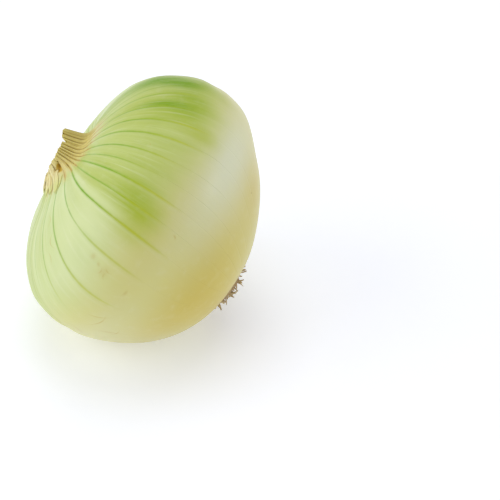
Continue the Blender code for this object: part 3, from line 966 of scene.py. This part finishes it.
def flesh_material():
    """Waxy onion flesh: cream below, green above, with veins that fade and a dry, ridged straw neck; a
    painted sheen on the near flank, and painted shade low down and in the torn hollow.
    """
    look = Finish("onion_flesh")
    number, distance = look.meridian()
    spacing = look.attribute("vein_spacing")
    strength = look.attribute("vein_strength")
    dense = look.attribute("straw")
    collar = look.attribute("collar")
    pale_sheath = look.attribute("pale_sheath")
    wash = look.attribute("wash")
    green = look.attribute("greenness")
    leafy = look.attribute("leafiness")

    cloud = look.noise(42.0, 2.0)
    mottle = look.noise(300.0, 5.0)
    streak = look.noise(1.0, 3.0, look.point(number * 2.2, distance * 0.045))
    thread = look.noise(1.0, 2.0, look.point(number * 7.0, distance * 0.05))
    fibre = look.noise(3.0, 4.0, look.point(number * 3.0, distance * 0.05))

    cream = look.mix(cloud, paint(221, 213, 126), paint(214, 211, 142))
    # Pale layer: the skin's whiter tone, with a painted sheen on the near flank
    cream = look.layer(cream, look.attribute("pale_tone_and_painted_sheen"), 225, 227, 196)
    # Ochre layer: the bulb's lower tone, with painted warm shade
    cream = look.layer(cream, look.attribute("ochre_tone_and_painted_shade") * 0.85, 205, 183, 76)
    pale_leaf = look.mix(cloud, paint(222, 231, 177), paint(213, 225, 160))
    base = look.mix(leafy, cream, pale_leaf)
    base = look.layer(base, green + (streak - 0.5) * green * 0.9, 184, 198, 98)
    wash_colour = look.mix(look.attribute("wash_yellow"), paint(112, 160, 4), paint(176, 190, 24))
    patchy = 0.55 + streak * 0.6 + thread * 0.25 + (mottle - 0.5) * 0.7
    base = look.mix(wash * patchy * 0.72, base, wash_colour)
    base = look.layer(base, look.step(mottle, 0.5, 0.85) * 0.12, 236, 236, 206)
    base = look.layer(base, look.step(thread, 0.5, 0.8) * leafy * 0.24, 236, 240, 206)
    base = look.layer(base, look.step(streak, 0.5, 0.8) * leafy * 0.2, 176, 198, 100)

    beat = look.noise(1.0, 2.0, look.point(number * 1.3, distance * 0.35))
    near_neck = look.step(distance, -42.0, -18.0)
    width = (0.17 + strength * 0.15) * (0.7 + beat * 0.6) * (1.5 - near_neck * 0.5)
    line = vein_mask(look, number, width, spacing) * look.step(strength, 0.0, 0.6)
    halo = vein_mask(look, number, 1.3, spacing) * strength
    ink = look.mix(near_neck, paint(190, 196, 0), paint(118, 170, 0))
    base = look.layer(base, halo * 0.14, 168, 190, 76)
    glint = vein_mask(look, number + 0.14, 0.5, spacing) * strength
    base = look.layer(base, glint * 0.1, 236, 240, 210)
    inked = line * (0.28 + strength * 0.4) * (0.75 + beat * 0.5)
    base = look.mix(inked * (0.84 + near_neck * 0.34), base, ink)

    tan = look.mix(fibre, paint(222, 202, 140), paint(226, 218, 154))
    base = look.mix(collar * 0.7, base, tan)
    turning = collar * (1.0 - dense)
    base = look.layer(base, turning * line * 0.85, 186, 132, 66)

    straw = look.mix(fibre, paint(214, 198, 110), paint(238, 224, 154))
    straw = look.layer(straw, look.step(cloud, 0.4, 0.65) * 0.35, 200, 186, 92)
    straw = look.layer(straw, look.attribute("shaded_straw") * 0.5, 176, 160, 76)
    straw = look.mix(pale_sheath * 0.8, straw, look.mix(fibre, paint(226, 206, 150), paint(234, 224, 170)))
    base = look.mix(dense, base, straw)
    groove = vein_mask(look, number, 0.12 + beat * 0.1, spacing)
    half_groove = vein_mask(look, number + 0.5, 0.11, spacing) * look.step(beat, 0.35, 0.6)
    quarter_groove = vein_mask(look, number * 2.0 + 0.5, 0.1, spacing * 0.5) * look.step(thread, 0.4, 0.6)
    crease = groove * (0.35 + look.step(thread, 0.25, 0.65) * 0.65)
    crease = crease + half_groove * 0.4 + quarter_groove * 0.3
    crease = crease * (1.0 - pale_sheath * 0.5)
    base = look.layer(base, crease * look.step(dense, 0.2, 0.8), 132, 96, 28)

    hollow = look.attribute("hollow")
    # Torn hollow: partly the inner layer's yellow-brown, partly painted shade that deepens towards its
    # bottom
    base = look.layer(base, look.step(hollow, 0.1, 0.5) * 0.9, 200, 166, 50)
    base = look.layer(base, look.step(hollow, 0.55, 1.0) * 0.6, 148, 102, 22)
    root_tint = look.attribute("root_tint") * look.step(fibre, 0.35, 0.65)
    base = look.layer(base, root_tint * 0.6, 196, 168, 116)
    marks = blemishes(look, number, distance, spacing)
    base = look.layer(base, marks * 0.7, 196, 172, 80)
    base = look.layer(base, look.step(marks, 0.85, 1.6) * 0.85, 84, 60, 28)

    roughness = 0.34 + dense * 0.3 + wash * 0.12 + (mottle - 0.5) * 0.08
    relief = fibre * 0.25 + line * 0.05 + mottle * 0.12 - crease * 0.5
    return look.finish(
        base, roughness, look.bump(relief, 0.00015),
        Subsurface_Weight=0.2, Subsurface_Radius=(0.9, 1.0, 0.45), Subsurface_Scale=0.003,
        Coat_Weight=0.04, Coat_Roughness=0.14, Specular_IOR_Level=0.16,
    )


def dry_leaf_material():
    """Papery straw sheath with brown lines along it, more olive towards its torn tip."""
    look = Finish("dry_sheath")
    number, distance = look.meridian()
    fibre = look.noise(2.0, 4.0, look.point(number * 5.0, distance * 0.12))
    cloud = look.noise(420.0, 3.0)
    colour = look.mix(look.step(fibre, 0.3, 0.7), paint(238, 222, 144), paint(250, 242, 190))
    colour = look.layer(colour, look.step(cloud, 0.45, 0.75) * 0.25, 238, 208, 150)
    line = look.bell(look.maths("FRACT", number * 1.5 + 0.5) - 0.5, 0.12) * look.step(fibre, 0.35, 0.6)
    colour = look.layer(colour, line * 0.55, 186, 138, 40)
    colour = look.layer(colour, look.step(distance, 7.5, 3.0) * 0.7, 216, 226, 132)
    colour = look.layer(colour, look.attribute("edge") * 0.3, 172, 134, 48)
    roughness = 0.6 + (fibre - 0.5) * 0.2
    return look.finish(
        colour, roughness, look.bump(fibre + line * -0.6, 0.0001),
        Subsurface_Weight=0.15, Subsurface_Radius=(1.0, 0.8, 0.5), Subsurface_Scale=0.001,
    )


def root_plate_material():
    """Corky brown base with dark flecks."""
    look = Finish("root_plate_cork")
    cloud = look.noise(380.0, 5.0)
    grain = look.noise(1500.0, 3.0)
    colour = look.mix(cloud, paint(140, 108, 68), paint(204, 180, 132))
    colour = look.layer(colour, look.step(grain, 0.5, 0.75) * 0.5, 96, 66, 40)
    return look.finish(colour, 0.8 + (grain - 0.5) * 0.2, look.bump(cloud + grain * 0.5, 0.0003))


def root_fibre_material():
    """Dry roots, paler towards their tips."""
    look = Finish("root_fibre")
    cloud = look.noise(500.0, 4.0)
    grain = look.noise(2200.0, 2.0)
    colour = look.mix(look.step(cloud, 0.35, 0.7), paint(178, 150, 100), paint(224, 206, 162))
    colour = look.layer(colour, look.step(grain, 0.55, 0.8) * 0.5, 122, 92, 56)
    return look.finish(colour, 0.75 + (grain - 0.5) * 0.2, look.bump(grain, 0.0001))


# Stage, lights and camera, in metres, with the pixel where the bulb's middle is seen

IMAGE_SIDE = 500.0
CAMERA_LENS = 100.0
CAMERA_SENSOR = 36.0
CAMERA_AZIMUTH = math.radians(8.21)
CAMERA_ELEVATION = math.radians(40.0)
CAMERA_DISTANCE = 0.47035
CAMERA_REACH = (0.01, 20.0)
BULB_PIXEL = (140.84, 206.24)
FLOOR_HALF = 4.0
FLOOR_DROP = 0.0002
FLOOR_GLOW = 0.28
SURROUNDINGS = 0.47
LAMP_AIM = Vector((0.0, 0.0, 0.04))

# Lamps: azimuth and elevation in degrees, distance and side in metres, power in watts
LAMPS = (
    ("overhead_box", 170.0, 76.0, 0.9, 0.7, 2.6),
    ("right_box", 90.0, 14.0, 0.9, 0.2, 0.85),
    ("left_box", -72.0, 28.0, 0.9, 0.9, 3.4),
)


def floor_material():
    """Pale matt board with a trace of grain and a faint glow of its own."""
    look = Finish("pale_board")
    grain = look.noise(30.0, 3.0)
    colour = look.mix(grain, paint(240, 243, 252), paint(243, 245, 253))
    return look.finish(
        colour, 0.9, look.bump(grain, 0.0002, 0.2),
        Emission_Color=(0.92, 0.93, 1.0, 1.0), Emission_Strength=FLOOR_GLOW,
    )


def lay_floor():
    """Plain floor just under the onion."""
    mesh = bpy.data.meshes.new("floor")
    sides = ((-1.0, -1.0), (1.0, -1.0), (1.0, 1.0), (-1.0, 1.0))
    corners = [(x * FLOOR_HALF, y * FLOOR_HALF, -FLOOR_DROP) for x, y in sides]
    mesh.from_pydata(corners, [], [(0, 1, 2, 3)])
    mesh.materials.append(floor_material())
    floor = bpy.data.objects.new("floor", mesh)
    bpy.context.scene.collection.objects.link(floor)


def direction(azimuth, elevation):
    """Unit vector from the onion towards an azimuth and an elevation in radians, 0 being the front."""
    level = math.cos(elevation)
    return Vector((math.sin(azimuth) * level, -math.cos(azimuth) * level, math.sin(elevation)))


def soft_box(name, azimuth, elevation, distance, size, power):
    """Square area light aimed at the middle of the onion."""
    light = bpy.data.lights.new(name, "AREA")
    light.size = size
    light.energy = power
    lamp = bpy.data.objects.new(name, light)
    toward = direction(math.radians(azimuth), math.radians(elevation))
    lamp.location = toward * distance + LAMP_AIM
    lamp.rotation_euler = toward.to_track_quat("Z", "Y").to_euler()
    bpy.context.scene.collection.objects.link(lamp)


def light_studio():
    """White surroundings, a soft box over the back, and one on either side."""
    world = bpy.data.worlds.new("studio")
    world.use_nodes = True
    background = world.node_tree.nodes["Background"]
    background.inputs["Color"].default_value = (1.0, 1.0, 1.0, 1.0)
    background.inputs["Strength"].default_value = SURROUNDINGS
    bpy.context.scene.world = world
    for lamp in LAMPS:
        soft_box(*lamp)
    bpy.context.scene.view_settings.view_transform = "Standard"


def place_camera():
    """Camera that sees the middle of the bulb at its pixel in the photograph."""
    back = direction(CAMERA_AZIMUTH, CAMERA_ELEVATION)
    right = Vector((math.cos(CAMERA_AZIMUTH), math.sin(CAMERA_AZIMUTH), 0.0))
    up = back.cross(right)
    focal = CAMERA_LENS / CAMERA_SENSOR * IMAGE_SIDE
    across = (BULB_PIXEL[0] - IMAGE_SIDE / 2.0) / focal * CAMERA_DISTANCE
    above = (IMAGE_SIDE / 2.0 - BULB_PIXEL[1]) / focal * CAMERA_DISTANCE
    lens = bpy.data.cameras.new("camera")
    lens.lens = CAMERA_LENS
    lens.sensor_width = CAMERA_SENSOR
    lens.clip_start, lens.clip_end = CAMERA_REACH
    camera = bpy.data.objects.new("camera", lens)
    camera.location = Vector(SHIFT) - across * right - above * up + CAMERA_DISTANCE * back
    camera.rotation_mode = "QUATERNION"
    camera.rotation_quaternion = Matrix((right, up, back)).transposed().to_quaternion()
    bpy.context.scene.collection.objects.link(camera)
    bpy.context.scene.camera = camera


def main():
    """The onion's pieces, then the floor, the lights and the camera."""
    flesh = flesh_material()
    dry = dry_leaf_material()
    skin = bulb_skin(flesh)
    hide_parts("onion")
    for number, flap in enumerate(FLAPS):
        sheath_flap(number, *flap, dry)
    inner_scroll(dry)
    root_plate(root_plate_material())
    root_fibres(root_fibre_material())
    lay_floor()
    light_studio()
    place_camera()


main()
